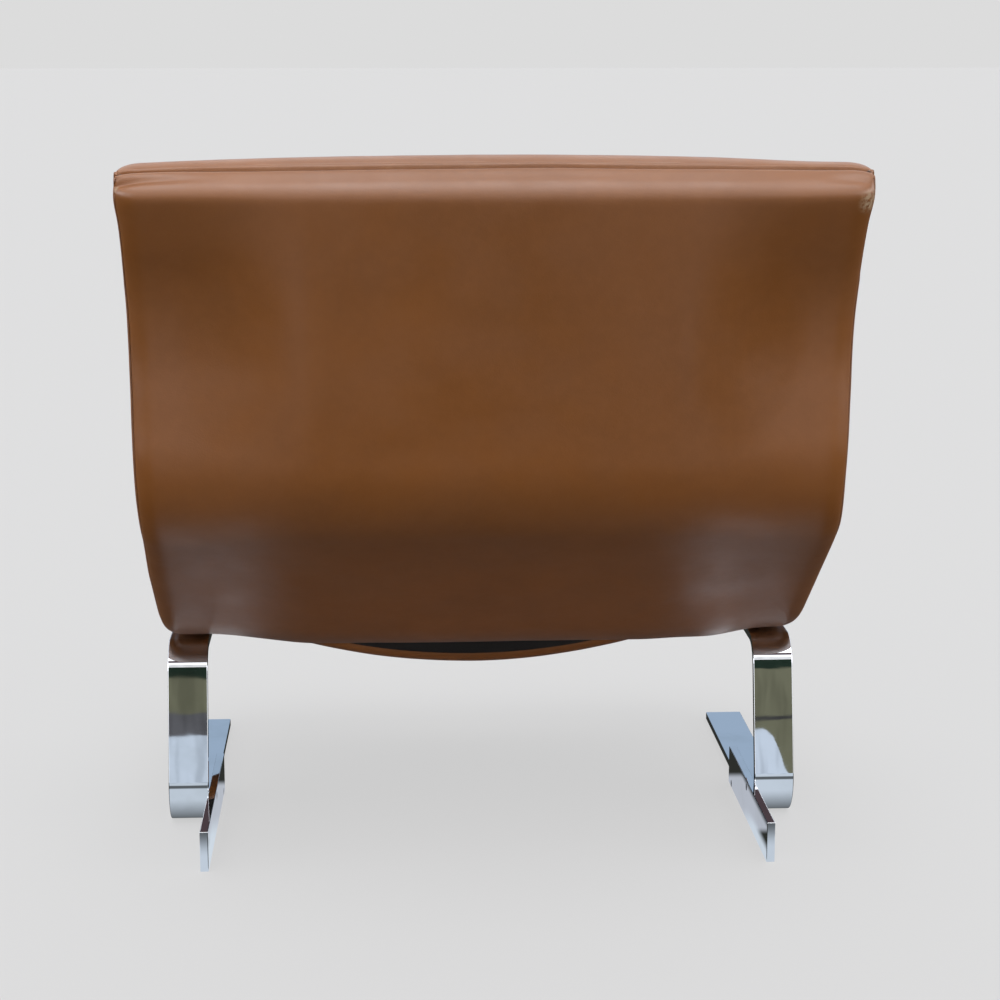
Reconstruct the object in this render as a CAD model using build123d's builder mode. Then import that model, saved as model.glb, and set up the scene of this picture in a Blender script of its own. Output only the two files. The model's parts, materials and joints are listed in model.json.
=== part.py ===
from build123d import *
from collections import namedtuple
from math import atan2, cos, hypot, radians, sin, sqrt, tan
import os

# Cantilever lounge chair: a wave-shaped leather body on two flat-bar legs bent to a C.
# Millimetres and degrees. +Z is up, the sitter faces -Y, +X is the sitter's left. The floor is Z = 0
# and the origin lies on it, on the centre plane, below the middle of the chair's depth.

# Body, measured at the side rails, where the leather follows the frame
BODY_WIDTH = 800.0
SLAB_THICKNESS = 62.0
LEATHER = 3.0
CLOTH_START = -208.0  # depth at which the rear leather ends and the black underside cloth begins
LIP_HEM = 13.0  # leather turned up behind the front lip

# Rear and underside face of the body, from the top edge to the front lip: depth, height, radius
SEAT_UNDERSIDE = 230.0
TOP_EDGE = (436.5, 823.0)
HOLLOW = (347.5, 685.0, 285.0)
BULGE = (333.5, 457.0, 175.0)
HEEL = (-0.5, SEAT_UNDERSIDE, 240.0)
RISE = (-250.5, SEAT_UNDERSIDE, 130.0)
KNEE = (-378.2, SEAT_UNDERSIDE + 79.8, 42.0)
LIP = (-358.8, SEAT_UNDERSIDE - 30.0)

# Soft shape of the upholstery between the side rails
CROWN = 14.0  # swell of the front face at the centre
HOLLOW_BRIDGE = 46.0  # how far the taut rear leather stands behind the hollow at the centre
BELLY = 18.0  # sag of the underside at the centre
LIP_BOW = 88.0  # how much lower the lip hangs at the centre
TOP_BOW = 3.0  # how much higher the top edge stands at the centre
EDGE_ROUND = 24.0  # width of the rounded side edges
EDGE_DRAW = 15.0  # how far both faces draw in at the sides
EDGE_FLAT = 46.0  # width along each side where the leather lies on its rail
END_BULGE = 7.0  # swell of the top edge and of the lip

# Frame inside the body
RAIL_WIDTH = 30.0
RAIL_DEPTH = 30.0
RAIL_INSET = 12.5  # from the body's side to the rail
RAIL_COVER_GAP = 1.6
RAIL_END_GAP = 12.0
RAIL_ROUND = 8.0
CROSS_RAIL_WIDTH = 45.0
CROSS_RAIL_DEPTH = 24.0
TUBE_DIAMETER = 20.0
TUBE_WALL = 2.0
TUBE_SOCKET = 10.0  # how far each tube end enters its side rail
STRAP_WIDTH = 50.0
STRAP_THICKNESS = 2.5
STRAP_OVERLAP = 22.0  # lap of a strap on each rail
STRAPS_EACH = 6
STRAP_MARGIN = 45.0  # from the ends of the back and the seat to the nearest strap's middle
FOAM_GAP = 0.5
CLOTH_MARGIN = 16.0  # leather turned under along each side of the cloth

# Leg: one flat bar, from the floor arm up round the bends to the seat arm
BAR_WIDTH = 50.0
BAR_THICKNESS = 10.0
LEG_SIDE_GAP = 2.5  # from the body's side to the leg's outer face
LEG_LEAN = 12.0
FLOOR_BEND = 50.0  # outer radius
SEAT_BEND = 40.0  # outer radius
FLOOR_BEND_DEPTH = 0.5  # depth of the floor bend's centre
FOOT_FRONT = -406.5
ARM_FRONT = -205.0
ARM_GAP = 0.3
BAR_EDGE = 0.8

# Stabiliser plate beside each floor arm
PLATE_HEIGHT = 50.0
PLATE_THICKNESS = 10.0
PLATE_FRONT = -107.5
PLATE_REAR = 211.5

# Fasteners
LEG_BOLT_DEPTHS = (-95.0, -135.0, -175.0)
LEG_BOLT_RADIUS = 4.0
LEG_BOLT_LENGTH = 35.0
LEG_BOLT_HEAD_RADIUS = 7.0
LEG_BOLT_HEAD_HEIGHT = 4.4
LEG_BOLT_SOCKET = 5.0  # across flats
WASHER_RADIUS = 9.0
WASHER_THICKNESS = 1.6
INSERT_RADIUS = 6.0
INSERT_LENGTH = 20.0
PLATE_SCREW_RADIUS = 2.5
PLATE_SCREW_LENGTH = 22.0
PLATE_SCREW_HEAD_RADIUS = 4.6
PLATE_SCREW_SOCKET = 3.0  # across flats
FLOOR_SCREW_DEPTH = -83.5
BEND_SCREW_ANGLE = -11.0  # from the horizontal, about the floor bend's centre
FRAME_SCREW_RADIUS = 2.5
FRAME_SCREW_LENGTH = 70.0
FRAME_SCREW_HEAD_RADIUS = 4.8
FRAME_SCREW_SOCKET = 3.0  # across flats
FRAME_SCREW_SPACING = 22.0
HOLE_GAP = 0.5
THREAD_GAP = 0.05

HALF_WIDTH = BODY_WIDTH / 2
SIDES = {"left": 1, "right": -1}

# A path is a chain of runs, each straight or one arc. Bend is the signed curvature, positive towards
# the sitter's side of the path, which is also the side of positive offsets.
Run = namedtuple("Run", "station y z heading length bend")


def rounded_path(corners):
    """Chain of tangent lines and arcs through corners given as depth, height and radius."""
    runs = []
    station = 0.0
    y, z = corners[0][:2]
    for corner, after in zip(corners[1:], corners[2:] + [None]):
        heading = atan2(corner[1] - z, corner[0] - y)
        reach = turn = 0.0
        if after:
            turn = heading - atan2(after[1] - corner[1], after[0] - corner[0])
            turn = atan2(sin(turn), cos(turn))
            reach = corner[2] * tan(abs(turn) / 2)
        length = hypot(corner[0] - y, corner[1] - z) - reach
        runs.append(Run(station, y, z, heading, length, 0.0))
        station += length
        y = corner[0] - reach * cos(heading)
        z = corner[1] - reach * sin(heading)
        if after:
            arc_length = corner[2] * abs(turn)
            bend = turn / arc_length
            runs.append(Run(station, y, z, heading, arc_length, bend))
            station += arc_length
            y = corner[0] + reach * cos(heading - turn)
            z = corner[1] + reach * sin(heading - turn)
    return runs


def path_length(path):
    return path[-1].station + path[-1].length


def run_at(path, station):
    """The run that holds a station. Stations past an end continue the end's straight run."""
    held = [run for run in path if run.station <= station]
    return held[-1] if held else path[0]


def spot(path, station, offset=0.0):
    """Depth and height of the point at a station, moved by offset towards the sitter."""
    run = run_at(path, station)
    along = station - run.station
    heading = run.heading - run.bend * along
    if run.bend:
        y = run.y + (sin(run.heading) - sin(heading)) / run.bend
        z = run.z + (cos(heading) - cos(run.heading)) / run.bend
    else:
        y = run.y + along * cos(run.heading)
        z = run.z + along * sin(run.heading)
    return y + offset * sin(heading), z - offset * cos(heading)


def trace(path, start, end, offset):
    """Add the path between two stations, at an offset, to the line being drawn."""
    joints = [run.station for run in path[1:] if start < run.station < end]
    stops = [start] + joints + [end]
    for first, last in zip(stops, stops[1:]):
        middle = (first + last) / 2
        ends = spot(path, first, offset), spot(path, last, offset)
        if run_at(path, middle).bend:
            ThreePointArc(ends[0], spot(path, middle, offset), ends[1])
        else:
            Line(*ends)


def band(plane, path, start, end, inner, outer):
    """Face on a plane between two offsets of a path, from one station to another."""
    with BuildSketch(plane) as face:
        with BuildLine():
            trace(path, start, end, inner)
            Line(spot(path, end, inner), spot(path, end, outer))
            trace(path, start, end, outer)
            Line(spot(path, start, inner), spot(path, start, outer))
        make_face()
    return face.sketch


def station_at_depth(path, depth):
    """First station at which the path has come forward to a depth."""
    low, high = 0.0, path_length(path)
    while high - low > 0.001:
        middle = (low + high) / 2
        low, high = (middle, high) if spot(path, middle)[0] > depth else (low, middle)
    return high


# ---- Places worked out from the sizes above ----
WAVE = rounded_path([TOP_EDGE, HOLLOW, BULGE, HEEL, RISE, KNEE, LIP])
WAVE_LENGTH = path_length(WAVE)
SEAM_OFFSET = SLAB_THICKNESS / 2
RAIL_REAR = LEATHER + RAIL_COVER_GAP
RAIL_FRONT = RAIL_REAR + RAIL_DEPTH
STRAP_FRONT = RAIL_FRONT + STRAP_THICKNESS
RAIL_MIDDLE = (RAIL_REAR + RAIL_FRONT) / 2
RAIL_INNER_X = HALF_WIDTH - RAIL_INSET - RAIL_WIDTH
RAIL_OUTER_X = HALF_WIDTH - RAIL_INSET
RAIL_UNDERSIDE = SEAT_UNDERSIDE + RAIL_REAR
CLOTH_STATION = station_at_depth(WAVE, CLOTH_START)
CREASE_STATION = (WAVE[4].station + WAVE[5].station) / 2  # middle of the slope between bulge and heel
LUMBAR_STATION = (WAVE[3].station + WAVE[4].station) / 2
HEEL_STATION = (WAVE[5].station + WAVE[6].station) / 2
KNEE_STATION = WAVE[9].station
TOP_RAIL_STATION = RAIL_END_GAP + CROSS_RAIL_WIDTH / 2
LIP_RAIL_STATION = WAVE_LENGTH - RAIL_END_GAP - CROSS_RAIL_WIDTH / 2
CROSS_RAILS = {"top_rail": TOP_RAIL_STATION, "knee_rail": KNEE_STATION, "lip_rail": LIP_RAIL_STATION}
TUBES = {"lumbar_tube": LUMBAR_STATION, "seat_tube": HEEL_STATION}
ABOVE_TOP = -2 * RAIL_END_GAP  # station clear above the top edge
BELOW_LIP = WAVE_LENGTH + 2 * LIP_BOW  # station clear below the lip
FOAM_REAR = STRAP_FRONT + FOAM_GAP
CLEAR_OF_FRONT = 2 * SLAB_THICKNESS  # offset clear in front of the leather

ARM_TOP = SEAT_UNDERSIDE - ARM_GAP
BEND_CORNER_DEPTH = FLOOR_BEND_DEPTH + FLOOR_BEND * tan(radians(90 + LEG_LEAN) / 2)
ARM_CORNER_DEPTH = BEND_CORNER_DEPTH - ARM_TOP * tan(radians(LEG_LEAN))
LEG = rounded_path(
    [
        (FOOT_FRONT, 0.0),
        (BEND_CORNER_DEPTH, 0.0, FLOOR_BEND),
        (ARM_CORNER_DEPTH, ARM_TOP, SEAT_BEND),
        (ARM_FRONT, ARM_TOP),
    ]
)
LEG_X = HALF_WIDTH - LEG_SIDE_GAP - BAR_WIDTH / 2
PLATE_OUTER_X = LEG_X - BAR_WIDTH / 2
PLATE_INNER_X = PLATE_OUTER_X - PLATE_THICKNESS
BAR_MIDDLE = BAR_THICKNESS / 2
BEND_SCREW_REACH = FLOOR_BEND - BAR_MIDDLE
PLATE_SCREW_PLACES = [
    (FLOOR_SCREW_DEPTH, BAR_MIDDLE),
    (
        FLOOR_BEND_DEPTH + BEND_SCREW_REACH * cos(radians(BEND_SCREW_ANGLE)),
        FLOOR_BEND + BEND_SCREW_REACH * sin(radians(BEND_SCREW_ANGLE)),
    ),
]

pieces = {}


def keep(name, builder):
    """Label a finished piece and keep it for export."""
    builder.part.label = name
    pieces[name] = builder.part


# ---- Places and fasteners that several pieces share ----
BELOW = (Align.CENTER, Align.CENTER, Align.MAX)
ABOVE = (Align.CENTER, Align.CENTER, Align.MIN)
SCREW_HEAD_ANGLE = 90


def leg_bolt_places(height, *sides):
    """Points at the leg bolts, at one height, on the given sides or on both."""
    sides = sides or SIDES.values()
    return [(side * LEG_X, depth, height) for side in sides for depth in LEG_BOLT_DEPTHS]


def side_planes(x, facing, places):
    """Planes square to X at places given as depth and height, facing +X or -X."""
    return [Plane((x, y, z), x_dir=(0, 1, 0), z_dir=(facing, 0, 0)) for y, z in places]


Screw = namedtuple("Screw", "radius length head_radius socket")
PLATE_SCREW = Screw(PLATE_SCREW_RADIUS, PLATE_SCREW_LENGTH, PLATE_SCREW_HEAD_RADIUS, PLATE_SCREW_SOCKET)
FRAME_SCREW = Screw(FRAME_SCREW_RADIUS, FRAME_SCREW_LENGTH, FRAME_SCREW_HEAD_RADIUS, FRAME_SCREW_SOCKET)


def screws(planes, screw):
    """Countersunk screws with hexagon sockets, their heads flush with planes."""
    head_height = screw.head_radius - screw.radius
    with BuildPart() as group:
        with Locations(*planes):
            Cylinder(screw.radius, screw.length, align=BELOW)
            Cone(screw.radius, screw.head_radius, head_height, align=BELOW)
        with BuildSketch(*planes):
            RegularPolygon(screw.socket / 2, 6, major_radius=False)
        extrude(amount=-head_height, mode=Mode.SUBTRACT)
    return group


def cut_screw_heads(planes, screw, depth):
    """Cut countersunk holes for screws through the piece being made."""
    with Locations(*planes):
        CounterSinkHole(screw.radius + THREAD_GAP, screw.head_radius + THREAD_GAP, depth, SCREW_HEAD_ANGLE)


def cut_screw_threads(planes, screw):
    """Cut plain holes for screws in the piece being made, a little deeper than the screws."""
    with Locations(*planes):
        Hole(screw.radius + THREAD_GAP, depth=screw.length + HOLE_GAP)


# ---- Upholstery ----
def fullness(inward):
    """0 where the leather lies on a rail, rising to 1 in the middle of the body."""
    ramp = (inward - EDGE_FLAT) / (HALF_WIDTH / 2 - EDGE_FLAT)
    ramp = min(max(ramp, 0.0), 1.0)
    return ramp * ramp * (3 - 2 * ramp)


def body_section(plane, inward, inset):
    """Outline of the body at a distance in from its side, shrunk by an inset."""
    across = 1 - inward / HALF_WIDTH
    rounding = max(1 - inward / EDGE_ROUND, 0.0)
    draw = EDGE_DRAW * (1 - sqrt(1 - rounding * rounding))
    full = fullness(inward)
    hollow_y = HOLLOW[0] + HOLLOW_BRIDGE * full
    hollow_radius = HOLLOW[2] / (1 - 0.9 * full)
    low = SEAT_UNDERSIDE - BELLY * full
    hollow = (hollow_y, HOLLOW[1], hollow_radius)
    heel = (HEEL[0], low, HEEL[2])
    rise = (RISE[0], low, RISE[2])
    rear = rounded_path([TOP_EDGE, hollow, BULGE, heel, rise, KNEE, LIP])
    swell = CROWN * (1 - across * across)
    bow = LIP_BOW * (1 - across * across)
    start = inset - TOP_BOW * (1 - across * across)
    rear_offset = draw + inset
    front_offset = SLAB_THICKNESS - draw + swell - inset
    rear_end = path_length(rear) + bow - inset
    front_end = WAVE_LENGTH + bow - inset
    top = spot(rear, start, rear_offset), spot(WAVE, start, front_offset)
    lip = spot(rear, rear_end, rear_offset), spot(WAVE, front_end, front_offset)
    bulge = END_BULGE * (1 - draw / EDGE_DRAW / 2)
    middle_offset = (rear_offset + front_offset) / 2
    with BuildSketch(plane) as section:
        with BuildLine():
            trace(rear, start, rear_end, rear_offset)
            trace(WAVE, start, front_end, front_offset)
            ThreePointArc(top[0], spot(WAVE, start - bulge, middle_offset), top[1])
            ThreePointArc(lip[0], spot(WAVE, front_end + bulge, middle_offset), lip[1])
        make_face()
    return section.sketch


EDGE_SECTIONS = [0.0, EDGE_ROUND / 6, EDGE_ROUND / 2.2, EDGE_ROUND, EDGE_FLAT]
MIDDLE_SPANS = 8  # even steps of the soft shape between the flat sides


def body_form(inset):
    """The whole body as one soft form, shrunk by an inset."""
    scale = (HALF_WIDTH - inset) / HALF_WIDTH
    step = 2 * (HALF_WIDTH - EDGE_FLAT) / MIDDLE_SPANS
    middle = []
    for span in range(MIDDLE_SPANS + 1):
        x = EDGE_FLAT - HALF_WIDTH + span * step
        middle.append(body_section(Plane.YZ.offset(x * scale), HALF_WIDTH - abs(x), inset))
    with BuildPart() as form:
        loft(middle)
        for side in SIDES.values():
            edge = []
            for inward in EDGE_SECTIONS:
                plane = Plane.YZ.offset(side * (HALF_WIDTH - inward) * scale)
                edge.append(body_section(plane, inward, inset))
            loft(edge)
    return form


outer_form = body_form(0.0)
inner_form = body_form(LEATHER)
padding_form = body_form(LEATHER + FOAM_GAP)

with BuildPart() as skin:
    add(outer_form.part)
    add(inner_form.part, mode=Mode.SUBTRACT)

# Everything behind the side seam, from above the top edge to where the rear leather ends
with BuildPart() as rear_region:
    region = band(Plane.YZ, WAVE, ABOVE_TOP, CLOTH_STATION, -1.5 * HOLLOW_BRIDGE, SEAM_OFFSET)
    extrude(region, BODY_WIDTH, both=True)

# Under the seat and up behind the lip, between the leather edges and above the turned-up hem
with BuildPart() as cloth_region:
    region = band(Plane.YZ, WAVE, CLOTH_STATION, BELOW_LIP, -0.7 * KNEE[2], SEAM_OFFSET)
    extrude(region, HALF_WIDTH - CLOTH_MARGIN, both=True)
    hem_height = LIP[1] - END_BULGE + LIP_HEM
    hem_ends = (-HALF_WIDTH, hem_height), (HALF_WIDTH, hem_height)
    with BuildSketch(Plane.XZ):
        with BuildLine():
            ThreePointArc(hem_ends[0], (0, hem_height - LIP_BOW), hem_ends[1])
            Polyline(hem_ends[1], (HALF_WIDTH, -HALF_WIDTH), (-HALF_WIDTH, -HALF_WIDTH), hem_ends[0])
        make_face()
    extrude(amount=BODY_WIDTH, both=True, mode=Mode.SUBTRACT)

with BuildPart() as front_cover:
    add(skin.part)
    add(rear_region.part, mode=Mode.SUBTRACT)
    add(cloth_region.part, mode=Mode.SUBTRACT)
keep("front_cover", front_cover)

with BuildPart() as rear_cover:
    add(skin.part)
    add(rear_region.part, mode=Mode.INTERSECT)
    with Locations(*leg_bolt_places(RAIL_UNDERSIDE)):
        Hole(LEG_BOLT_RADIUS + HOLE_GAP, depth=RAIL_UNDERSIDE - ARM_TOP)
keep("rear_cover", rear_cover)

with BuildPart() as underside_cloth:
    add(skin.part)
    add(cloth_region.part, mode=Mode.INTERSECT)
keep("underside_cloth", underside_cloth)


def padding(plane, start, end, inner, outer, reach):
    """Foam that fills the body between stations and offsets, reaching along X from a plane."""
    with BuildPart() as foam:
        add(padding_form.part)
        extrude(band(plane, WAVE, start, end, inner, outer), reach, mode=Mode.INTERSECT)
    return foam


# Foam in front of the straps, in two pads that meet in the crease
body_side = Plane.YZ.offset(-HALF_WIDTH)
keep("back_foam", padding(body_side, ABOVE_TOP, CREASE_STATION, FOAM_REAR, CLEAR_OF_FRONT, BODY_WIDTH))
keep("seat_foam", padding(body_side, CREASE_STATION, BELOW_LIP, FOAM_REAR, CLEAR_OF_FRONT, BODY_WIDTH))

# Foam past the ends and sides of the frame
rail_side = Plane.YZ.offset(-RAIL_OUTER_X)
for name, start, end in [
    ("top_padding", ABOVE_TOP, RAIL_END_GAP - FOAM_GAP),
    ("lip_padding", WAVE_LENGTH - RAIL_END_GAP + FOAM_GAP, BELOW_LIP),
]:
    keep(name, padding(rail_side, start, end, 0, STRAP_FRONT, 2 * RAIL_OUTER_X))
for name, side in SIDES.items():
    rail_side = Plane.YZ.offset(side * (RAIL_OUTER_X + FOAM_GAP))
    foam = padding(rail_side, ABOVE_TOP, BELOW_LIP, 0, STRAP_FRONT, side * RAIL_INSET)
    keep(f"{name}_side_padding", foam)


# ---- Frame inside the body ----
def rail_screw_planes(side, station):
    """Planes of a cross rail's two screws, on the outer face of a side rail."""
    stations = [station - FRAME_SCREW_SPACING / 2, station + FRAME_SCREW_SPACING / 2]
    return side_planes(side * RAIL_OUTER_X, side, [spot(WAVE, each, RAIL_MIDDLE) for each in stations])


for name, side in SIDES.items():
    tube_places = [spot(WAVE, station, RAIL_MIDDLE) for station in TUBES.values()]
    screw_planes = []
    for station in CROSS_RAILS.values():
        screw_planes += rail_screw_planes(side, station)
    with BuildPart() as side_rail:
        plane = Plane.YZ.offset(side * RAIL_INNER_X)
        face = band(plane, WAVE, RAIL_END_GAP, WAVE_LENGTH - RAIL_END_GAP, RAIL_REAR, RAIL_FRONT)
        extrude(face, side * RAIL_WIDTH)
        rail_faces = side_rail.faces().filter_by(Axis.X).sort_by(Axis.X)
        fillet(rail_faces[-1 if side > 0 else 0].edges(), RAIL_ROUND)
        with Locations(*side_planes(side * RAIL_INNER_X, side, tube_places)):
            Cylinder((TUBE_DIAMETER + HOLE_GAP) / 2, 2 * (TUBE_SOCKET + HOLE_GAP), mode=Mode.SUBTRACT)
        cut_screw_heads(screw_planes, FRAME_SCREW, RAIL_WIDTH)
        with Locations(*leg_bolt_places(RAIL_UNDERSIDE, side)):
            Cylinder(INSERT_RADIUS + THREAD_GAP, 2 * (INSERT_LENGTH + HOLE_GAP), mode=Mode.SUBTRACT)
    keep(f"{name}_side_rail", side_rail)
    keep(f"{name}_frame_screws", screws(screw_planes, FRAME_SCREW))

for name, station in CROSS_RAILS.items():
    with BuildPart() as cross_rail:
        start = station - CROSS_RAIL_WIDTH / 2
        rear = RAIL_MIDDLE - CROSS_RAIL_DEPTH / 2
        face = band(Plane.YZ, WAVE, start, start + CROSS_RAIL_WIDTH, rear, rear + CROSS_RAIL_DEPTH)
        extrude(face, RAIL_INNER_X, both=True)
        for side in SIDES.values():
            cut_screw_threads(rail_screw_planes(side, station), FRAME_SCREW)
    keep(name, cross_rail)

for name, station in TUBES.items():
    with BuildPart() as tube:
        with BuildSketch(Plane.YZ):
            with Locations(spot(WAVE, station, RAIL_MIDDLE)):
                Circle(TUBE_DIAMETER / 2)
                Circle(TUBE_DIAMETER / 2 - TUBE_WALL, mode=Mode.SUBTRACT)
        extrude(amount=RAIL_INNER_X + TUBE_SOCKET, both=True)
    keep(name, tube)

STRAP_ZONES = {
    "back_strap": (TOP_RAIL_STATION + STRAP_MARGIN, CREASE_STATION - STRAP_MARGIN),
    "seat_strap": (CREASE_STATION + STRAP_MARGIN, KNEE_STATION - STRAP_MARGIN),
}
for name, (first, last) in STRAP_ZONES.items():
    for count in range(STRAPS_EACH):
        start = first + (last - first) * count / (STRAPS_EACH - 1) - STRAP_WIDTH / 2
        with BuildPart() as strap:
            face = band(Plane.YZ, WAVE, start, start + STRAP_WIDTH, RAIL_FRONT, STRAP_FRONT)
            extrude(face, RAIL_INNER_X + STRAP_OVERLAP, both=True)
        keep(f"{name}_{count + 1}", strap)


# ---- Legs ----
for name, side in SIDES.items():
    screw_planes = side_planes(side * PLATE_INNER_X, -side, PLATE_SCREW_PLACES)
    with BuildPart() as leg:
        plane = Plane.YZ.offset(side * LEG_X - BAR_WIDTH / 2)
        extrude(band(plane, LEG, 0, path_length(LEG), -BAR_THICKNESS, 0), BAR_WIDTH)
        fillet(leg.faces().filter_by(Axis.X).edges(), BAR_EDGE)
        with Locations(*leg_bolt_places(ARM_TOP, side)):
            Hole(LEG_BOLT_RADIUS + HOLE_GAP, depth=BAR_THICKNESS)
        cut_screw_threads(screw_planes, PLATE_SCREW)
    keep(f"{name}_leg", leg)

    with BuildPart() as plate:
        with BuildSketch(Plane.YZ.offset(side * PLATE_INNER_X)):
            with Locations(((PLATE_FRONT + PLATE_REAR) / 2, PLATE_HEIGHT / 2)):
                Rectangle(PLATE_REAR - PLATE_FRONT, PLATE_HEIGHT)
        extrude(amount=side * PLATE_THICKNESS)
        fillet(plate.edges(), BAR_EDGE)
        cut_screw_heads(screw_planes, PLATE_SCREW, PLATE_THICKNESS)
    keep(f"{name}_stabiliser_plate", plate)
    keep(f"{name}_plate_screws", screws(screw_planes, PLATE_SCREW))


# ---- Bolts that hold the legs to the side rails ----
for name, side in SIDES.items():
    bolts_from = ARM_TOP - BAR_THICKNESS - WASHER_THICKNESS
    with BuildPart() as leg_bolts:
        with Locations(*leg_bolt_places(bolts_from, side)):
            Cylinder(LEG_BOLT_HEAD_RADIUS, LEG_BOLT_HEAD_HEIGHT, align=BELOW)
        fillet(leg_bolts.edges().group_by(Axis.Z)[0], LEG_BOLT_HEAD_HEIGHT / 2)
        with Locations(*leg_bolt_places(bolts_from, side)):
            Cylinder(LEG_BOLT_RADIUS, LEG_BOLT_LENGTH, align=ABOVE)
        with BuildSketch(Plane.XY.offset(bolts_from - LEG_BOLT_HEAD_HEIGHT)):
            with Locations(*leg_bolt_places(0, side)):
                RegularPolygon(LEG_BOLT_SOCKET / 2, 6, major_radius=False)
        extrude(amount=LEG_BOLT_SOCKET / 2, mode=Mode.SUBTRACT)
    keep(f"{name}_leg_bolts", leg_bolts)

    with BuildPart() as leg_washers:
        with Locations(*leg_bolt_places(bolts_from, side)):
            Cylinder(WASHER_RADIUS, WASHER_THICKNESS, align=ABOVE)
        with Locations(*leg_bolt_places(bolts_from + WASHER_THICKNESS, side)):
            Hole(LEG_BOLT_RADIUS + HOLE_GAP, depth=WASHER_THICKNESS)
    keep(f"{name}_leg_washers", leg_washers)

    with BuildPart() as thread_inserts:
        with Locations(*leg_bolt_places(RAIL_UNDERSIDE, side)):
            Cylinder(INSERT_RADIUS, INSERT_LENGTH, align=ABOVE)
        with Locations(*leg_bolt_places(RAIL_UNDERSIDE + INSERT_LENGTH, side)):
            Hole(LEG_BOLT_RADIUS + THREAD_GAP, depth=INSERT_LENGTH)
    keep(f"{name}_thread_inserts", thread_inserts)

os.makedirs("parts", exist_ok=True)
for name, piece in pieces.items():
    export_step(piece, f"parts/{name}.step")
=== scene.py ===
import json
from collections import namedtuple
from math import atan2, cos, exp, hypot, pi, radians, sin, sqrt, tan

import bpy
import numpy as np
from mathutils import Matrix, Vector, noise


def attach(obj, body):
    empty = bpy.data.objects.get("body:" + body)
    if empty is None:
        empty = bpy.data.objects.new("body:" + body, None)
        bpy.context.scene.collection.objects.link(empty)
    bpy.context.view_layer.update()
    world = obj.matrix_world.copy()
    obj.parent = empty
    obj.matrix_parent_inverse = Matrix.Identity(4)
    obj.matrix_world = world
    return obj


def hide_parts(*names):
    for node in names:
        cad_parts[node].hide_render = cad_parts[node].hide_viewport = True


# Cantilever lounge chair. Shapes are worked out in millimetres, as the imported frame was, and turned to
# metres where a mesh is made. +Z is up, the sitter faces -Y, +X is the sitter's left.
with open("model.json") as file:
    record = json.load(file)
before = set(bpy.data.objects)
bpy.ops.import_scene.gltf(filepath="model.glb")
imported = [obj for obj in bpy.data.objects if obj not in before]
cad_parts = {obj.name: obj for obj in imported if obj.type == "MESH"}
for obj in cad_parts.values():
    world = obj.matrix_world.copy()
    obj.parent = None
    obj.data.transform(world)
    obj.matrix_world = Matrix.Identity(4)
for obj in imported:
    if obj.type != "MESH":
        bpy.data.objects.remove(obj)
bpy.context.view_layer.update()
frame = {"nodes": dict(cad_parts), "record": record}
MM = 0.001

# ---- The wave-shaped body ----
BODY_WIDTH = 800.0
SLAB_THICKNESS = 62.0
CLOTH_START = -208.0  # depth at which the rear leather ends and the black cloth begins
CLOTH_MARGIN = 16.0  # leather turned under along each side of the cloth
CLOTH_LIFT = 1.0  # how far the cloth's stapled edge lies over that leather
LIP_HEM = 13.0  # leather turned up behind the front lip

# Rear and underside face, from the top edge to the front lip: depth, height, radius
SEAT_UNDERSIDE = 230.0
TOP_EDGE = (436.5, 823.0)
HOLLOW = (347.5, 685.0, 285.0)
BULGE = (333.5, 457.0, 175.0)
HEEL = (-0.5, SEAT_UNDERSIDE, 240.0)
RISE = (-250.5, SEAT_UNDERSIDE, 130.0)
KNEE = (-378.2, SEAT_UNDERSIDE + 79.8, 42.0)
LIP = (-358.8, SEAT_UNDERSIDE - 30.0)

CROWN = 14.0  # swell of the front face at the centre
HOLLOW_BRIDGE = 46.0  # how far the taut rear leather stands behind the hollow at the centre
BELLY = 16.0  # sag of the underside at the centre
LIP_BOW = 88.0  # how much lower the lip hangs at the centre
TOP_BOW = 1.2  # how much higher the top edge stands at the centre
EDGE_ROUND = 24.0  # width of the rounded side edges
EDGE_DRAW = 15.0  # how far both faces draw in at the sides
EDGE_FLAT = 46.0  # width along each side where the leather lies on its rail

END_REACH = 13.0  # how far the rounding of the top edge and of the lip reaches into the faces
END_PEAK = 6.5  # how far those ends stand past the straight faces
END_POWER = 2.7  # squareness of that rounding
CORNER_DROP = 3.0  # rounding of the two upper corners, seen from behind
SIDE_PEAK = 1.2  # swell of the side faces
SEAM_DEPTH = 5.0
SEAM_WIDTH = 2.6
HEM_SETBACK = 6.0  # from the rounding of the lip to the last row of the faces
CLOTH_LAP = 7.0  # how far the cloth lies over the leather at each side
LAP_ROWS = 2  # and at its front and rear, in rows of faces
LEATHER_SHEET = 2.4
CLOTH_SHEET = 0.8

# Hand-made unevenness, as bumps across the width: centre, half width, height
TOP_DIPS = [(-325.0, 85.0, 2.2), (372.0, 40.0, 0.6)]  # the top edge sinks here
# The top seam wanders from the middle, by a share of the thickness
SEAM_CREEP = [(0.0, 500.0, 0.02), (350.0, 75.0, 0.05), (-350.0, 95.0, 0.11), (-60.0, 60.0, 0.02)]

ROW_STEP = 6.5
COLUMN_STEP = 6.5
EDGE_COLUMNS = 7
END_LEVELS = [0.0, 0.03, 0.065, 0.105, 0.15, 0.2, 0.26, 0.32, 0.38, 0.44, 0.5, 0.56, 0.62, 0.68, 0.74, 0.8, 0.86]
END_LEVELS += [0.91, 0.95, 0.985, 1.0]  # seam to face
SIDE_LEVELS = [0.0, 0.06, 0.14, 0.25, 0.42, 0.7, 1.0]  # seam to rounded edge

HALF_WIDTH = BODY_WIDTH / 2
Run = namedtuple("Run", "station y z heading length bend")


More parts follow.
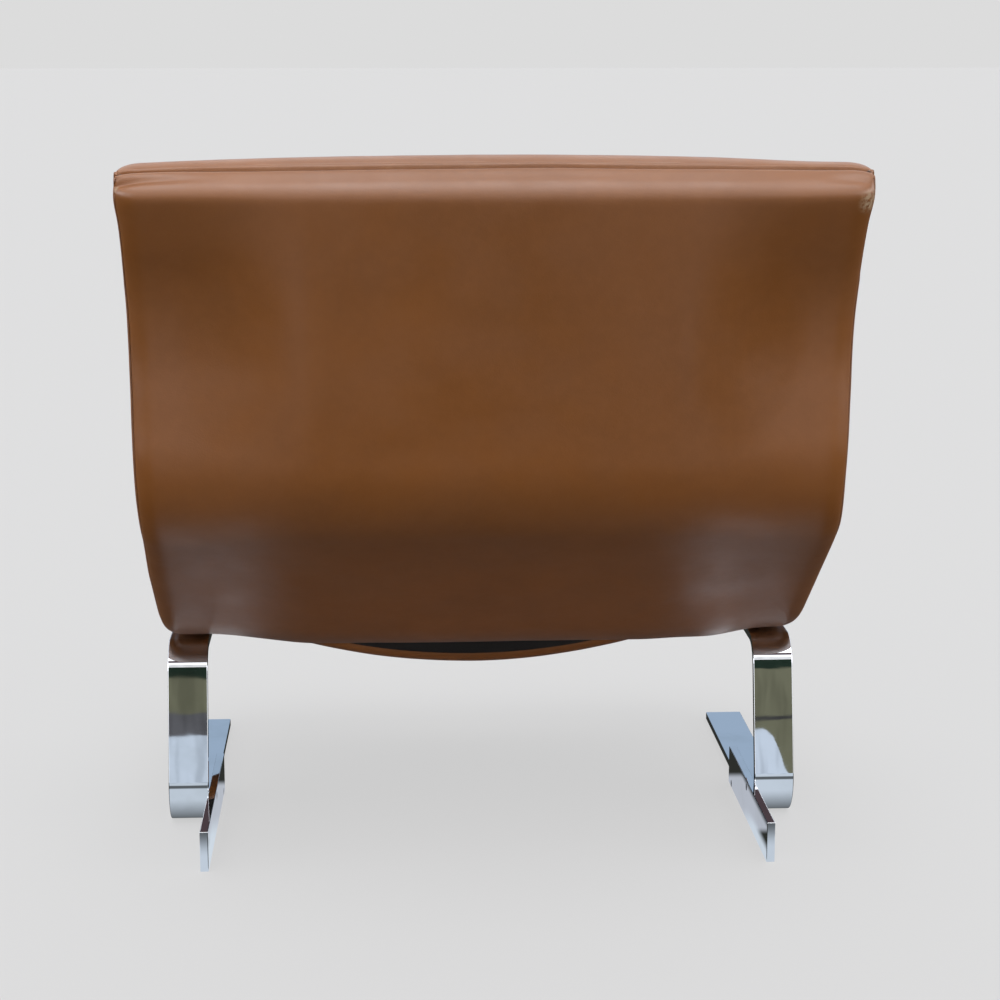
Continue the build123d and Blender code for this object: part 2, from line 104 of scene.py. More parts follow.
def rounded_path(corners):
    """Chain of tangent lines and arcs through corners given as depth, height and radius."""
    runs = []
    station = 0.0
    y, z = corners[0][:2]
    for corner, after in zip(corners[1:], corners[2:] + [None]):
        heading = atan2(corner[1] - z, corner[0] - y)
        reach = turn = 0.0
        if after:
            turn = heading - atan2(after[1] - corner[1], after[0] - corner[0])
            turn = atan2(sin(turn), cos(turn))
            reach = corner[2] * tan(abs(turn) / 2)
        length = hypot(corner[0] - y, corner[1] - z) - reach
        runs.append(Run(station, y, z, heading, length, 0.0))
        station += length
        y = corner[0] - reach * cos(heading)
        z = corner[1] - reach * sin(heading)
        if after:
            arc_length = corner[2] * abs(turn)
            runs.append(Run(station, y, z, heading, arc_length, turn / arc_length))
            station += arc_length
            y = corner[0] + reach * cos(heading - turn)
            z = corner[1] + reach * sin(heading - turn)
    return runs


def path_length(path):
    return path[-1].station + path[-1].length


def spot(path, station, offset=0.0):
    """Depth and height of the point at a station, moved by offset towards the sitter."""
    held = [run for run in path if run.station <= station]
    run = held[-1] if held else path[0]
    along = station - run.station
    heading = run.heading - run.bend * along
    if run.bend:
        y = run.y + (sin(run.heading) - sin(heading)) / run.bend
        z = run.z + (cos(heading) - cos(run.heading)) / run.bend
    else:
        y = run.y + along * cos(run.heading)
        z = run.z + along * sin(run.heading)
    return y + offset * sin(heading), z - offset * cos(heading)


def station_at_depth(path, depth):
    low, high = 0.0, path_length(path)
    while high - low > 0.01:
        middle = (low + high) / 2
        low, high = (middle, high) if spot(path, middle)[0] > depth else (low, middle)
    return high


WAVE = rounded_path([TOP_EDGE, HOLLOW, BULGE, HEEL, RISE, KNEE, LIP])
WAVE_LENGTH = path_length(WAVE)
CLOTH_STATION = station_at_depth(WAVE, CLOTH_START)


def step(value):
    """Smooth rise from 0 to 1 as the value, a number or an array, goes from 0 to 1."""
    value = np.clip(value, 0.0, 1.0)
    return value * value * (3 - 2 * value)


def swell(value, centre, half_width):
    """Bell shape round a centre."""
    return np.exp(-(((value - centre) / half_width) ** 2))


def swells(value, bumps):
    return sum(height * swell(value, centre, half_width) for centre, half_width, height in bumps)


def even(start, end, step_length):
    """Evenly spaced values from start to end, about a step apart."""
    return list(np.linspace(start, end, max(2, round(abs(end - start) / step_length) + 1)))


def columns():
    """Distances of the columns from the centre plane, from one side of the body to the other."""
    edge = [HALF_WIDTH - EDGE_ROUND * (1 - sin(pi / 2 * k / EDGE_COLUMNS)) for k in range(EDGE_COLUMNS)]
    middle = even(HALF_WIDTH - EDGE_ROUND, 0.0, COLUMN_STEP)
    half = sorted(set(round(x, 4) for x in edge + middle))
    return [-x for x in reversed(half)] + half[1:]


class Section:
    """The body's outline at one distance from the centre plane."""

    def __init__(self, x):
        inward = HALF_WIDTH - abs(x)
        across = abs(x) / HALF_WIDTH
        full = float(step((inward - EDGE_FLAT) / (HALF_WIDTH / 2 - EDGE_FLAT)))
        rounding = max(1 - inward / EDGE_ROUND, 0.0)
        self.draw = EDGE_DRAW * (1 - sqrt(1 - rounding * rounding))
        hollow = (HOLLOW[0] + HOLLOW_BRIDGE * full, HOLLOW[1], HOLLOW[2] / (1 - 0.9 * full))
        low = SEAT_UNDERSIDE - BELLY * full
        corners = [TOP_EDGE, hollow, BULGE, (HEEL[0], low, HEEL[2]), (RISE[0], low, RISE[2]), KNEE, LIP]
        self.rear = rounded_path(corners)
        dome = 1 - across * across
        self.front_offset = SLAB_THICKNESS - self.draw + CROWN * dome
        corner = CORNER_DROP * (1 - sqrt(1 - rounding * rounding))
        self.top = corner - TOP_BOW * dome + float(swells(x, TOP_DIPS))
        self.seam = 0.5 + float(swells(x, SEAM_CREEP))
        self.rear_end = path_length(self.rear) + LIP_BOW * dome
        self.front_end = WAVE_LENGTH + LIP_BOW * dome
        self.cloth = station_at_depth(self.rear, CLOTH_START)

    def point(self, rear_station, front_station, through):
        """Point between the rear face (through 0) and the front face (through 1)."""
        rear = spot(self.rear, rear_station, self.draw)
        front = spot(WAVE, front_station, self.front_offset)
        return [a + (b - a) * through for a, b in zip(rear, front)]


def end_peak(through):
    """How far an end stands out past the straight faces, part of the way through the thickness."""
    level = abs(2 * through - 1)
    return (1 - level**END_POWER) ** (1 / END_POWER) * (END_REACH + END_PEAK) - END_REACH


def groove(distance):
    return SEAM_DEPTH * exp(-((distance / SEAM_WIDTH) ** 2))


def chains(x):
    """Points down the rear and the front of one column, from the top seam to the middle of the lip.

    Also the rows at which the cloth begins and ends.

    Each point is depth, height, station, how far through the thickness it lies, and how far from the top seam.
    """
    section = Section(x)
    rear, front = [], []
    thickness = section.front_offset - section.draw

    def add(chain, place, station, through):
        walked = chain[-1][4] + hypot(place[0] - chain[-1][0], place[1] - chain[-1][1]) if chain else 0.0
        chain.append((*place, station, through, walked))

    for level in END_LEVELS:
        for chain, through in ((rear, section.seam * (1 - level)), (front, 1 - (1 - section.seam) * (1 - level))):
            station = section.top - end_peak(through) + groove((section.seam - through) * thickness)
            add(chain, section.point(station, station, through), station, through)
    starts = section.top + END_REACH
    hem_rear = section.rear_end - END_REACH - HEM_SETBACK
    hem_front = section.front_end - END_REACH - HEM_SETBACK
    upper = even(0, 1, ROW_STEP / CLOTH_STATION)[1:]
    lower = even(0, 1, ROW_STEP / (WAVE_LENGTH + LIP_BOW / 2 - CLOTH_STATION))[1:]
    for share in upper:
        s = starts + (section.cloth - starts) * share
        t = starts + (CLOTH_STATION - starts) * share
        add(rear, section.point(s, t, 0.0), t, 0.0)
        add(front, section.point(s, t, 1.0), t, 1.0)
    for share in lower:
        s = section.cloth + (hem_rear - section.cloth) * share
        t = CLOTH_STATION + (hem_front - CLOTH_STATION) * share
        add(rear, section.point(s, t, 0.0), t, 0.0)
        add(front, section.point(s, t, 1.0), t, 1.0)
    for level in reversed(END_LEVELS):
        through = 0.5 * (1 - level)
        out = end_peak(through)
        s, t = section.rear_end + out, section.front_end + out
        add(rear, section.point(s, t, through), t, through)
        add(front, section.point(s, t, 1 - through), t, 1 - through)
    cloth_row = len(END_LEVELS) - 1 + len(upper)
    return rear, front, cloth_row, cloth_row + len(lower)


# ---- The whole body as one closed skin, split afterwards into its covers ----
REAR, FRONT, CLOTH = "rear", "front", "cloth"


def body_skin():
    """Vertices (x, y, z, station, through, distance from a seam), and faces with the covers they belong to."""
    xs = columns()
    rears, fronts = [], []
    for x in xs:
        rear, front, cloth_row, hem_row = chains(x)
        rears.append([(x, *p) for p in rear])
        fronts.append([(x, *p) for p in front])
    vertices = []
    index = {}

    def vertex(key, place):
        if key not in index:
            index[key] = len(vertices)
            vertices.append(place)
        return index[key]

    last = len(rears[0]) - 1

    def ring(side, i, c):
        if c in (0, last):
            return vertex(("end", i, c), rears[i][c])
        return vertex((side, i, c), (rears if side == REAR else fronts)[i][c])

    faces = []
    margin = HALF_WIDTH - CLOTH_MARGIN
    for i in range(len(xs) - 1):
        inside = abs(xs[i] + xs[i + 1]) / 2 < margin
        lapped = abs(xs[i] + xs[i + 1]) / 2 < margin + CLOTH_LAP
        for c in range(last):
            quad = [ring(REAR, i, c), ring(REAR, i + 1, c), ring(REAR, i + 1, c + 1), ring(REAR, i, c + 1)]
            covers = {REAR if c < cloth_row else CLOTH if c < hem_row and inside else FRONT}
            if lapped and cloth_row - LAP_ROWS <= c < hem_row + LAP_ROWS:
                covers.add(CLOTH)
            faces.append((quad, covers))
            quad = [ring(FRONT, i, c + 1), ring(FRONT, i + 1, c + 1), ring(FRONT, i + 1, c), ring(FRONT, i, c)]
            faces.append((quad, {FRONT}))

    half = [0.5 * (1 - level) for level in reversed(SIDE_LEVELS)]
    throughs = half + [1 - t for t in reversed(half[:-1])]
    for i, side in ((0, -1), (len(xs) - 1, 1)):

        def cap(c, k):
            if c in (0, last) or k == 0:
                return ring(REAR, i, c)
            if k == len(throughs) - 1:
                return ring(FRONT, i, c)
            a, b = rears[i][c], fronts[i][c]
            t = throughs[k]
            place = [p + (q - p) * t for p, q in zip(a, b)]
            spread = hypot(a[1] - b[1], a[2] - b[2])
            place[0] += side * (SIDE_PEAK * (1 - (2 * t - 1) ** 2) - groove((t - 0.5) * spread))
            place[5] = min(place[5], abs(t - 0.5) * spread)
            return vertex(("cap", i, c, k), tuple(place))

        for c in range(last):
            for k in range(len(throughs) - 1):
                quad = [cap(c, k), cap(c, k + 1), cap(c + 1, k + 1), cap(c + 1, k)]
                if side > 0:
                    quad.reverse()
                quad = list(dict.fromkeys(quad))
                if len(quad) >= 3:
                    faces.append((quad, {REAR if k < len(throughs) // 2 and c < cloth_row else FRONT}))
    return np.array(vertices), faces


def new_mesh(name, points, faces):
    """Smooth-shaded mesh from points in millimetres."""
    mesh = bpy.data.meshes.new(name)
    mesh.from_pydata([tuple(point) for point in points * MM], [], faces)
    mesh.validate()
    mesh.shade_smooth()
    return mesh


def normals_of(points, faces):
    mesh = new_mesh("normals", points, faces)
    found = np.empty(len(points) * 3)
    mesh.vertex_normals.foreach_get("vector", found)
    bpy.data.meshes.remove(mesh)
    return found.reshape(-1, 3)


def ripples(points, scale, seed):
    """Smooth noise about 1 high at each point, with features of the given size along each axis."""
    return np.array([noise.noise(Vector((x / scale[0] + seed, y / scale[1], z / scale[2]))) for x, y, z in points])


def settle(skin, faces):
    """The hand-made unevenness: sides that stand out a little, loose leather at the seam, folds at the corners."""
    points, station, through, seam = skin[:, :3].copy(), skin[:, 3], skin[:, 4], skin[:, 5]
    x = points[:, 0]
    # The sides stand out near the top and again lower down, and the lower corner on the -X side sags
    reach = step((np.abs(x) - 330) / 70)
    flare = step((170 - station) / 60) + 2.3 * swell(station, 18, 22)
    left, right = 3.2 * step((station - 470) / 130), 5.6 * step((station - 345) / 150)
    points[:, 0] += np.sign(x) * reach * (flare + np.where(x > 0, left, right))
    points[:, 2] -= 6.5 * swell(x, -300, 42) * step((station - 600) / 100) * (1 - through)

    # Slack everywhere, and gathers along the seams
    back = through < 0.62
    high = station < 120
    loose = 0.7 * ripples(points, (150, 150, 110), 3.1) + 0.22 * ripples(points, (38, 60, 34), 8.7)
    gathers = ripples(points * (1, 0, 0), (9, 1, 1), 21.3) * step(ripples(points * (1, 0, 0), (70, 1, 1), 5.2) + 0.5)
    loose += 0.55 * gathers * np.exp(-seam / 9) * step(seam / 3)
    # Folds at the two upper corners, and a soft roll under the seam between them
    corner = step((x - 290) / 90) * back * high
    loose += corner * (1.5 * swell(seam, 9, 5.5) - 2.3 * swell(seam, 19, 4.0))
    loose -= 3.0 * back * high * swell(x, 394, 15) * swell(seam, 19, 4.5)
    corner = step((-x - 340) / 50) * back * high
    loose += corner * (1.2 * swell(seam, 10, 6) - 1.6 * swell(seam, 23, 5))
    roll = back * high * step((330 - np.abs(x)) / 60)
    loose += roll * (0.5 * swell(seam, 8, 5) - 0.4 * swell(seam, 20, 6))
    return points + normals_of(points, faces) * loose[:, None]


skin, skin_faces = body_skin()
all_faces = [quad for quad, _ in skin_faces]
skin_points = settle(skin, all_faces)
skin_normals = normals_of(skin_points, all_faces)


def cover(name, which, thickness, lift=0.0):
    """One cover cut from the skin, as a closed shell of leather or cloth."""
    faces = [quad for quad, covers in skin_faces if which in covers]
    used = sorted({v for quad in faces for v in quad})
    place = {v: n for n, v in enumerate(used)}
    points = skin_points[used] + skin_normals[used] * lift
    piece = bpy.data.objects.new(name, new_mesh(name, points, [[place[v] for v in quad] for quad in faces]))
    seam = piece.data.attributes.new("seam", "FLOAT", "POINT")
    seam.data.foreach_set("value", skin[used, 5])
    bpy.context.scene.collection.objects.link(piece)
    shell = piece.modifiers.new("thickness", "SOLIDIFY")
    shell.thickness = thickness * MM
    shell.offset = -1
    shell.use_even_offset = False
    piece.modifiers.new("smooth", "SUBSURF").render_levels = 1
    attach(piece, "root")
    return piece


front_leather = cover("front_leather", FRONT, LEATHER_SHEET)
rear_leather = cover("rear_leather", REAR, LEATHER_SHEET)
black_cloth = cover("black_cloth", CLOTH, CLOTH_SHEET, CLOTH_LIFT)
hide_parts("front_cover", "back_foam", "seat_foam", "top_padding", "lip_padding")
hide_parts("left_side_padding", "right_side_padding")
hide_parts("rear_cover")
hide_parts("underside_cloth")


# ---- Materials ----
class Kit:
    """Short ways to add nodes to the tree of a material or of the world, and to join them."""

    def __init__(self, owner):
        owner.use_nodes = True
        self.tree = owner.node_tree

    def feed(self, socket, value):
        if isinstance(value, bpy.types.NodeSocket):
            self.tree.links.new(value, socket)
        elif isinstance(value, tuple) and len(value) == 3 and socket.type == "RGBA":
            socket.default_value = (*value, 1)
        else:
            socket.default_value = value

    def add(self, kind, values=None, **settings):
        made = self.tree.nodes.new("ShaderNode" + kind)
        for name, value in settings.items():
            setattr(made, name, value)
        for name, value in (values or {}).items():
            self.feed(made.inputs[name], value)
        return made

    def math(self, operation, first, second=0.0):
        return self.add("Math", {0: first, 1: second}, operation=operation).outputs[0]

    def ramp(self, value, low, high, start=0.0, end=1.0):
        values = {0: value, 1: low, 2: high, 3: start, 4: end}
        return self.add("MapRange", values, interpolation_type="SMOOTHSTEP").outputs[0]

    def mix(self, share, first, second, blend="MIX"):
        values = {0: share, 6: first, 7: second}
        return self.add("Mix", values, data_type="RGBA", blend_type=blend).outputs[2]

    def place(self, stretch=(1, 1, 1)):
        """Object coordinates in metres, stretched along each axis."""
        where = self.add("TexCoord").outputs["Object"]
        return self.add("VectorMath", {0: where, 1: stretch}, operation="MULTIPLY").outputs[0]

    def noise(self, scale, detail=2.0, roughness=0.5, where=None, distortion=0.0):
        values = {"Vector": where or self.place(), "Scale": scale, "Detail": detail, "Roughness": roughness}
        return self.add("TexNoise", {**values, "Distortion": distortion}).outputs[0]

    def waves(self, scale, direction, where=None, **values):
        values = {"Vector": where or self.place(), "Scale": scale, **values}
        return self.add("TexWave", values, bands_direction=direction).outputs["Fac"]

    def band(self, value, low, high, fade):
        """1 between two values, and 0 outside them."""
        return self.math("MULTIPLY", self.ramp(value, low - fade, low), self.ramp(value, high, high + fade, 1.0, 0.0))

    def cells(self, scale, feature="F1"):
        values = {"Vector": self.place(), "Scale": scale}
        return self.add("TexVoronoi", values, feature=feature).outputs["Distance"]

    def bump(self, height, strength, distance, under=None):
        values = {"Height": height, "Strength": strength, "Distance": distance}
        if under:
            values["Normal"] = under
        return self.add("Bump", values).outputs[0]


def material(name, color, roughness, metallic=0.0):
    """A new material with its principled shader and its kit."""
    made = bpy.data.materials.new(name)
    kit = Kit(made)
    shader = made.node_tree.nodes["Principled BSDF"]
    shader.inputs["Base Color"].default_value = (*color, 1)
    shader.inputs["Roughness"].default_value = roughness
    shader.inputs["Metallic"].default_value = metallic
    return made, shader, kit


def near(kit, spots, where):
    """1 at the given places, in metres with their radius, and 0 further off."""
    total = None
    for x, y, z, radius in spots:
        away = kit.add("VectorMath", {0: where, 1: (x, y, z)}, operation="DISTANCE").outputs["Value"]
        mask = kit.ramp(away, radius * 0.35, radius, 1.0, 0.0)
        total = kit.math("MAXIMUM", total, mask) if total else mask
    return total


# Small light nicks on the back, and the corners where the finish has rubbed through: place and radius in metres
NICKS = [(0.209, 0.357, 0.582, 0.0022), (0.326, 0.331, 0.479, 0.0026), (0.333, 0.338, 0.474, 0.0014)]
NICKS += [(0.335, 0.4, 0.762, 0.0018), (-0.19, 0.44, 0.815, 0.0015), (-0.273, 0.438, 0.814, 0.002)]
RUBBED = [(-0.401, 0.428, 0.812, 0.02), (-0.4, 0.41, 0.83, 0.012), (0.4, 0.42, 0.828, 0.005)]


def leather_finish():
    made, shader, kit = material("leather", (0.2, 0.066, 0.009), 0.42)
    shader.inputs["IOR"].default_value = 1.74
    shader.inputs["Sheen Weight"].default_value = 0.06
    shader.inputs["Sheen Roughness"].default_value = 0.35
    shader.inputs["Sheen Tint"].default_value = (0.9, 0.8, 0.85, 1)
    where = kit.place()
    seam = kit.add("Attribute", attribute_name="seam").outputs["Fac"]
    tone = kit.ramp(kit.noise(5.5, 3.0, 0.55, distortion=0.3), 0.3, 0.7)
    colour = kit.mix(tone, (0.184, 0.06, 0.0078), (0.214, 0.071, 0.0105))
    mottle = kit.ramp(kit.noise(70.0, 4.0, 0.6), 0.35, 0.7)
    colour = kit.mix(kit.math("MULTIPLY", mottle, 0.22), colour, (0.24, 0.087, 0.019))
    pores = kit.cells(900.0)
    colour = kit.mix(kit.ramp(pores, 0.0, 0.35, 0.22, 0.0), colour, (0.067, 0.023, 0.005))
    # Painted shade: the colour darkens towards the top seam, within the width of its groove
    seam_shade = kit.ramp(seam, 0.4, 2.6, 0.85, 0.0)
    colour = kit.mix(seam_shade, colour, (0.03, 0.011, 0.004))
    # Painted highlight: a lighter, warmer band from 1.5 to 9 mm either side of the top seam, broken up by noise
    seam_highlight = kit.math("MULTIPLY", kit.ramp(seam, 1.5, 4.0), kit.ramp(seam, 4.0, 9.0, 1.0, 0.0))
    patchy = kit.ramp(kit.noise(45.0, 3.0, 0.6, where=kit.place((1, 0.3, 0.3))), 0.45, 0.75)
    colour = kit.mix(kit.math("MULTIPLY", kit.math("MULTIPLY", seam_highlight, patchy), 0.3), colour, (0.3, 0.14, 0.055))
    ragged = kit.ramp(kit.noise(260.0, 4.0, 0.65), 0.38, 0.56)
    rubbed = kit.math("MULTIPLY", near(kit, RUBBED, where), ragged)
    nicked = near(kit, NICKS, where)
    colour = kit.mix(kit.math("MULTIPLY", rubbed, 0.8), colour, (0.42, 0.3, 0.18))
    colour = kit.mix(kit.math("MULTIPLY", nicked, 0.75), colour, (0.48, 0.31, 0.18))
    kit.feed(shader.inputs["Base Color"], colour)
    rough = kit.ramp(kit.noise(14.0, 3.0, 0.6), 0.3, 0.7, 0.38, 0.47)
    kit.feed(shader.inputs["Roughness"], kit.math("ADD", rough, kit.math("MULTIPLY", rubbed, 0.3)))
    grain = kit.bump(kit.cells(620.0, "SMOOTH_F1"), 0.16, 0.0004)
    creases = kit.noise(190.0, 5.0, 0.62, where=kit.place((1, 1, 1.4)), distortion=0.6)
    grain = kit.bump(creases, 0.2, 0.0006, grain)
    slack = kit.bump(kit.noise(24.0, 2.0, 0.5), 0.22, 0.002, grain)
    kit.feed(shader.inputs["Normal"], slack)
    return made


def lining_finish():
    made, shader, kit = material("lining", (0.008, 0.007, 0.006), 0.9)
    threads = 1150.0 / (2 * pi)
    weave = kit.math("MAXIMUM", kit.waves(threads, "X"), kit.waves(threads, "Y"))
    fluff = kit.noise(300.0, 3.0, 0.6)
    colour = kit.mix(weave, (0.004, 0.0035, 0.003), (0.01, 0.0085, 0.008))
    colour = kit.mix(kit.ramp(fluff, 0.5, 0.75, 0.0, 0.35), colour, (0.02, 0.018, 0.016))
    kit.feed(shader.inputs["Base Color"], colour)
    kit.feed(shader.inputs["Roughness"], kit.ramp(fluff, 0.2, 0.8, 0.84, 0.96))
    kit.feed(shader.inputs["Normal"], kit.bump(weave, 0.35, 0.0004))
    return made


def chrome_finish():
    made, shader, kit = material("chrome", (0.78, 0.8, 0.84), 0.05, 1.0)
    haze = kit.ramp(kit.noise(9.0, 4.0, 0.6), 0.42, 0.72)
    colour = kit.mix(haze, (0.79, 0.81, 0.85), (0.7, 0.72, 0.745))
    kit.feed(shader.inputs["Base Color"], colour)
    wiped = kit.ramp(kit.noise(35.0, 4.0, 0.65, where=kit.place((1, 1, 5))), 0.4, 0.75, 0.006, 0.014)
    kit.feed(shader.inputs["Roughness"], kit.math("ADD", wiped, kit.math("MULTIPLY", haze, 0.01)))
    kit.feed(shader.inputs["Normal"], kit.bump(kit.noise(16.0, 1.0, 0.4), 0.035, 0.001))
    return made


def metal_finish(name, color, roughness, metallic):
    """Turned or coated small metal parts, with dust and fine wear."""
    made, shader, kit = material(name, color, roughness, metallic)
    dust = kit.ramp(kit.noise(140.0, 4.0, 0.6), 0.45, 0.75)
    colour = kit.mix(kit.math("MULTIPLY", dust, 0.5), color, tuple(c * 0.6 + 0.02 for c in color))
    kit.feed(shader.inputs["Base Color"], colour)
    kit.feed(shader.inputs["Roughness"], kit.ramp(dust, 0.0, 1.0, roughness, roughness + 0.2))
    kit.feed(shader.inputs["Normal"], kit.bump(kit.noise(600.0, 3.0, 0.6), 0.12, 0.0002))
    return made


def timber_finish():
    made, shader, kit = material("timber", (0.55, 0.38, 0.21), 0.7)
    rings = kit.waves(22.0, "Y", kit.place((0.4, 3.0, 3.0)), Distortion=6.0, Detail=3.0)
    colour = kit.mix(rings, (0.5, 0.33, 0.17), (0.64, 0.47, 0.29))
    kit.feed(shader.inputs["Base Color"], colour)
    kit.feed(shader.inputs["Roughness"], kit.ramp(rings, 0.0, 1.0, 0.62, 0.78))
    kit.feed(shader.inputs["Normal"], kit.bump(rings, 0.2, 0.0005))
    return made


def webbing_finish():
    made, shader, kit = material("webbing", (0.1, 0.085, 0.07), 0.85)
    ribs = kit.waves(90.0, "Z")
    colour = kit.mix(ribs, (0.07, 0.058, 0.047), (0.14, 0.12, 0.1))
    kit.feed(shader.inputs["Base Color"], colour)
    kit.feed(shader.inputs["Roughness"], kit.ramp(kit.noise(120.0), 0.3, 0.7, 0.78, 0.92))
    kit.feed(shader.inputs["Normal"], kit.bump(ribs, 0.4, 0.0006))
    return made


leather, lining, chrome = leather_finish(), lining_finish(), chrome_finish()
dark_screws = metal_finish("dark_screws", (0.03, 0.03, 0.033), 0.4, 0.6)
zinc = metal_finish("zinc", (0.6, 0.6, 0.6), 0.35, 1.0)
tubes = metal_finish("tubes", (0.05, 0.05, 0.055), 0.45, 0.0)
FINISHES = {"polished_bar": chrome, "dark_screws": dark_screws, "zinc": zinc, "tubes": tubes}
FINISHES.update(timber=timber_finish(), webbing=webbing_finish())
for piece, finish in ((front_leather, leather), (rear_leather, leather), (black_cloth, lining)):
    piece.data.materials.append(finish)
for part in frame["record"]["subparts"]:
    if part["material_slot"] in FINISHES:
        node = frame["nodes"][part["node"]]
        node.data.materials.clear()
        node.data.materials.append(FINISHES[part["material_slot"]])

# ---- Studio: pale floor and backdrop, soft light, camera ----
BACKDROP = (0.716, 0.716, 0.716)
PAPER = (0.53, 0.53, 0.527)  # the floor's matt colour, which the lamps bring up to the backdrop's
STUDIO_FLOOR = (0.09, 0.078, 0.065)  # the floor as it lights the chair
WARM_FLOOR = (0.7, 0.55, 0.42)  # and nearer to it and under it
# The floor as the bright metal and the glossy leather mirror it: shaded paper between the plates, lit paper behind
# the feet, and dark elsewhere
DARK_FLOOR = (0.03, 0.032, 0.028)
SHADED_PAPER = (0.5, 0.53, 0.59)
LIT_PAPER = (0.66, 0.735, 0.81)
SHADED_REACH = (0.318, 0.342, -0.12, 0.08)  # from the centre plane, and the ends in depth
LIT_REACH = (0.325, 0.41, 0.17)  # from the centre plane, and how fast the outer side moves out with depth
LIT_START = 0.09
WARM_REACH = (0.2, -0.4, 0.45)
SHADOW_SHARE = 0.22  # how much of the floor's colour the object's shadow can take

floor = bpy.data.objects.new("floor", bpy.data.meshes.new("floor"))
REACH = 60.0
corners = [(x, y, 0) for x, y in ((-REACH, -REACH), (REACH, -REACH), (REACH, REACH), (-REACH, REACH))]
floor.data.from_pydata(corners, [], [(0, 1, 2, 3)])
bpy.context.scene.collection.objects.link(floor)
floor_finish = bpy.data.materials.new("floor")
kit = Kit(floor_finish)
kit.tree.nodes.clear()
rays = kit.add("LightPath").outputs
place = kit.add("SeparateXYZ", {0: kit.place()}).outputs
aside = kit.math("ABSOLUTE", place["X"])

inner, outer, *depth = SHADED_REACH
shaded = kit.math("MULTIPLY", kit.band(aside, inner, outer, 0.006), kit.band(place["Y"], *depth, 0.03))
inner, outer, widening = LIT_REACH
outward = kit.math("SUBTRACT", aside, kit.math("MULTIPLY", place["Y"], widening))
lit = kit.math("MULTIPLY", kit.ramp(aside, inner, inner + 0.008), kit.ramp(outward, outer - 0.01, outer, 1.0, 0.0))
lit = kit.math("MULTIPLY", lit, kit.ramp(place["Y"], LIT_START - 0.1, LIT_START))
gap = kit.math("MAXIMUM", kit.ramp(place["Y"], 0.26, 0.36, 1.0, 0.15), kit.ramp(place["Y"], 0.8, 1.2))
lit = kit.math("MULTIPLY", lit, gap)
mirrored = kit.mix(lit, kit.mix(shaded, DARK_FLOOR, SHADED_PAPER), LIT_PAPER)
reach, *depth = WARM_REACH
warm = kit.math("MULTIPLY", kit.ramp(aside, reach, reach + 0.16, 1.0, 0.0), kit.band(place["Y"], *depth, 0.1))
lighting = kit.mix(warm, STUDIO_FLOOR, WARM_FLOOR)
matt = kit.add("BsdfDiffuse", {"Color": kit.mix(rays["Is Camera Ray"], lighting, PAPER)}).outputs[0]
glow = kit.add("Emission", {"Color": kit.mix(rays["Is Camera Ray"], mirrored, BACKDROP)}).outputs[0]
glossy = kit.math("MAXIMUM", rays["Is Glossy Ray"], rays["Is Transmission Ray"])
glowing = kit.math("MAXIMUM", glossy, kit.math("MULTIPLY", rays["Is Camera Ray"], 1 - SHADOW_SHARE))
blend = kit.add("MixShader", {0: glowing, 1: matt, 2: glow}).outputs[0]
kit.add("OutputMaterial", {"Surface": blend})
floor.data.materials.append(floor_finish)


def sun(name, strength, angle, azimuth, elevation):
    """A soft lamp from a direction given in degrees: azimuth from +Y towards +X, and elevation."""
    lamp = bpy.data.lights.new(name, "SUN")
    lamp.energy = strength
    lamp.angle = radians(angle)
    source = bpy.data.objects.new(name, lamp)
    bpy.context.scene.collection.objects.link(source)
    turn, lift = radians(azimuth), radians(elevation)
    way = Vector((sin(turn) * cos(lift), cos(turn) * cos(lift), sin(lift)))
    source.rotation_euler = way.to_track_quat("Z", "Y").to_euler()


sun("key", 0.3, 30, 0, 78)

# What lights the chair and shows in its bright metal, by direction. Low soft light comes from both sides. Behind
# the camera there are plain cards instead, which the bright metal mirrors.
world = bpy.data.worlds.new("studio")
bpy.context.scene.world = world
kit = Kit(world)
rays = kit.add("LightPath").outputs
way = kit.add("SeparateXYZ", {0: kit.place()}).outputs
aside = kit.math("ABSOLUTE", way["X"])
front_sky = kit.mix(kit.ramp(way["Z"], 0.38, 0.46), (0.36, 0.47, 0.61), (1.8, 1.78, 1.8))
low_sides = kit.mix(kit.ramp(aside, 0.45, 0.75), (2.2, 2.2, 2.25), (5.2, 5.2, 5.35))
low_sides = kit.mix(kit.ramp(way["Z"], 0.02, 0.14), (0.6, 0.6, 0.6), low_sides)
ragged = kit.noise(60.0, 4.0, 0.6, where=kit.place((1, 1, 5)))
rise = kit.math("ADD", way["Z"], kit.math("MULTIPLY", kit.math("SUBTRACT", ragged, 0.5), 0.0024))
streaks = kit.noise(260.0, 1.0, where=kit.place((1, 0.1, 0.1)))
left_side = kit.ramp(way["X"], -0.05, 0.0)
pale_edge = kit.ramp(way["X"], -0.172, -0.157, 0.1015, 0.126)
pale_edge = kit.math("ADD", pale_edge, kit.math("MULTIPLY", left_side, 0.0025))
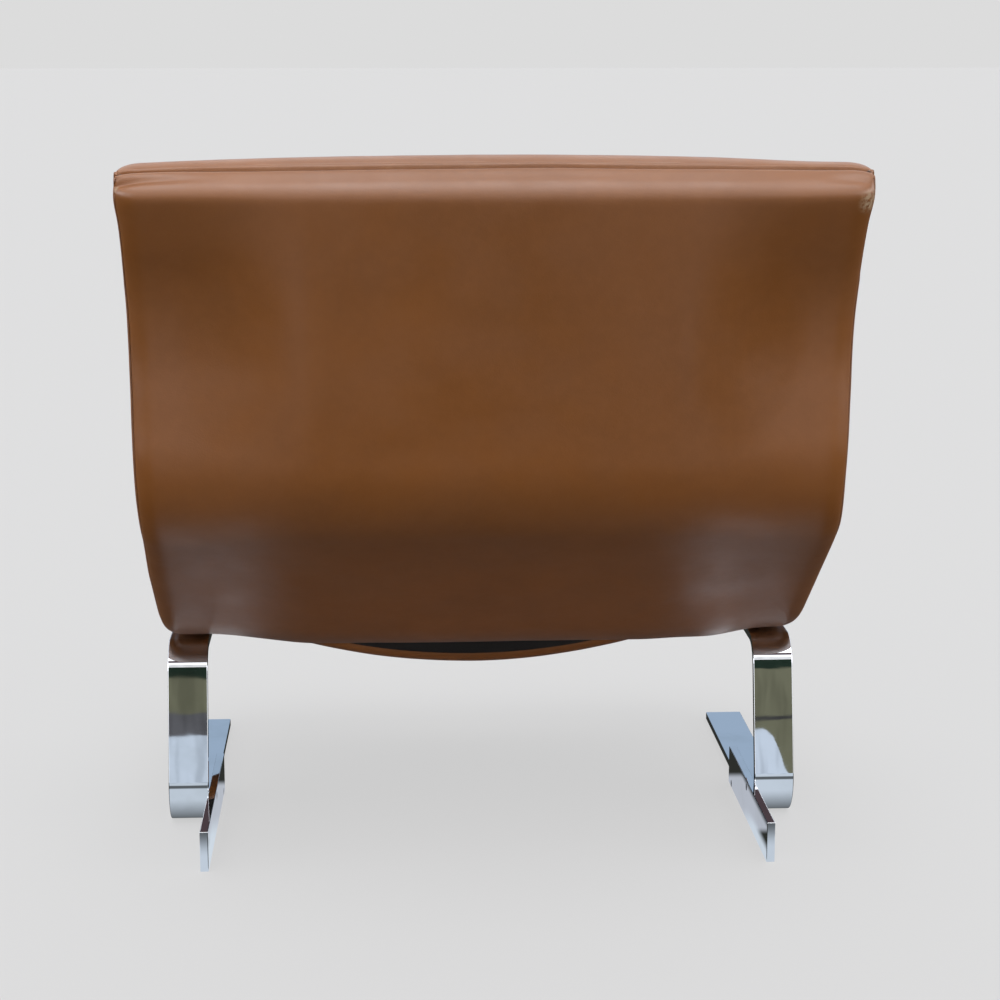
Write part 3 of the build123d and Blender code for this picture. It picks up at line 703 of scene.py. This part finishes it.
# Surroundings that the bright metal mirrors, each one plain colour, lowest first. Each begins at the sine of its
# elevation, on the +X side and on the -X side.
PAVING = (0.67, 0.76, 0.87)
SHADE = (0.06, 0.06, 0.06)
WALL = (0.13, 0.13, 0.14)
LAWN = (0.18, 0.18, 0.12)
HEDGE = (0.02, 0.035, 0.025)
BRIGHT_SKY = (1.0, 1.0, 1.0)
cards = PAVING
for left, right, left_colour, right_colour in (
    (pale_edge, pale_edge, SHADE, LAWN),
    (0.1275, 0.1295, WALL, SHADE),
    (0.137, 0.131, LAWN, LAWN),
    (0.151, 0.151, HEDGE, HEDGE),
    (0.38, 0.38, BRIGHT_SKY, BRIGHT_SKY),
):
    start = pale_edge
    if left is not pale_edge:
        start = kit.math("ADD", right, kit.math("MULTIPLY", left_side, left - right))
    over = kit.ramp(kit.math("SUBTRACT", rise, start), -0.0004, 0.0004)
    cards = kit.mix(over, cards, kit.mix(left_side, right_colour, left_colour))
cards = kit.mix(kit.math("MULTIPLY", kit.ramp(streaks, 0.45, 0.7), 0.25), cards, (0.05, 0.05, 0.055), "MULTIPLY")
beside_cards = kit.ramp(aside, 0.19, 0.23)
rear_low = kit.mix(beside_cards, cards, low_sides)
rear_low = kit.mix(kit.math("MULTIPLY", kit.ramp(way["Z"], 0.36, 0.44), beside_cards), rear_low, (0.18, 0.18, 0.19))
rear_sky = kit.mix(kit.ramp(way["Z"], 0.56, 0.62), rear_low, (0.4, 0.4, 0.43))
sky = kit.mix(kit.ramp(way["Y"], -0.3, -0.1), front_sky, rear_sky)
sky = kit.mix(kit.ramp(way["Z"], 0.76, 0.84), sky, (0.7, 0.7, 0.74))
# A round soft light overhead, a little behind the chair, with a dark card in it that the plates' tops mirror
toward = kit.math("ADD", kit.math("MULTIPLY", way["Y"], 0.469), kit.math("MULTIPLY", way["Z"], 0.883))
sky = kit.mix(kit.ramp(toward, 0.855, 0.877), sky, (1.9, 1.9, 1.93), "ADD")
card = kit.math("MULTIPLY", kit.ramp(aside, 0.19, 0.21, 1.0, 0.0), kit.ramp(way["Z"], 0.72, 0.73, 1.0, 0.0))
card = kit.math("MULTIPLY", card, kit.ramp(way["Z"], 0.62, 0.63))
sky = kit.mix(kit.math("MULTIPLY", card, kit.ramp(way["Y"], 0.0, 0.1)), sky, (0.11, 0.075, 0.08))
kit.feed(kit.tree.nodes["Background"].inputs["Color"], kit.mix(rays["Is Camera Ray"], sky, BACKDROP))

camera = bpy.data.objects.new("camera", bpy.data.cameras.new("camera"))
bpy.context.scene.collection.objects.link(camera)
camera.location = (0.1275, 2.9709, 0.9946)
camera.rotation_euler = (radians(78.889), 0, radians(177.083))
camera.data.lens = 86.4
camera.data.sensor_width = 36
bpy.context.scene.camera = camera
bpy.context.scene.view_settings.view_transform = "Standard"

bpy.context.view_layer.update()
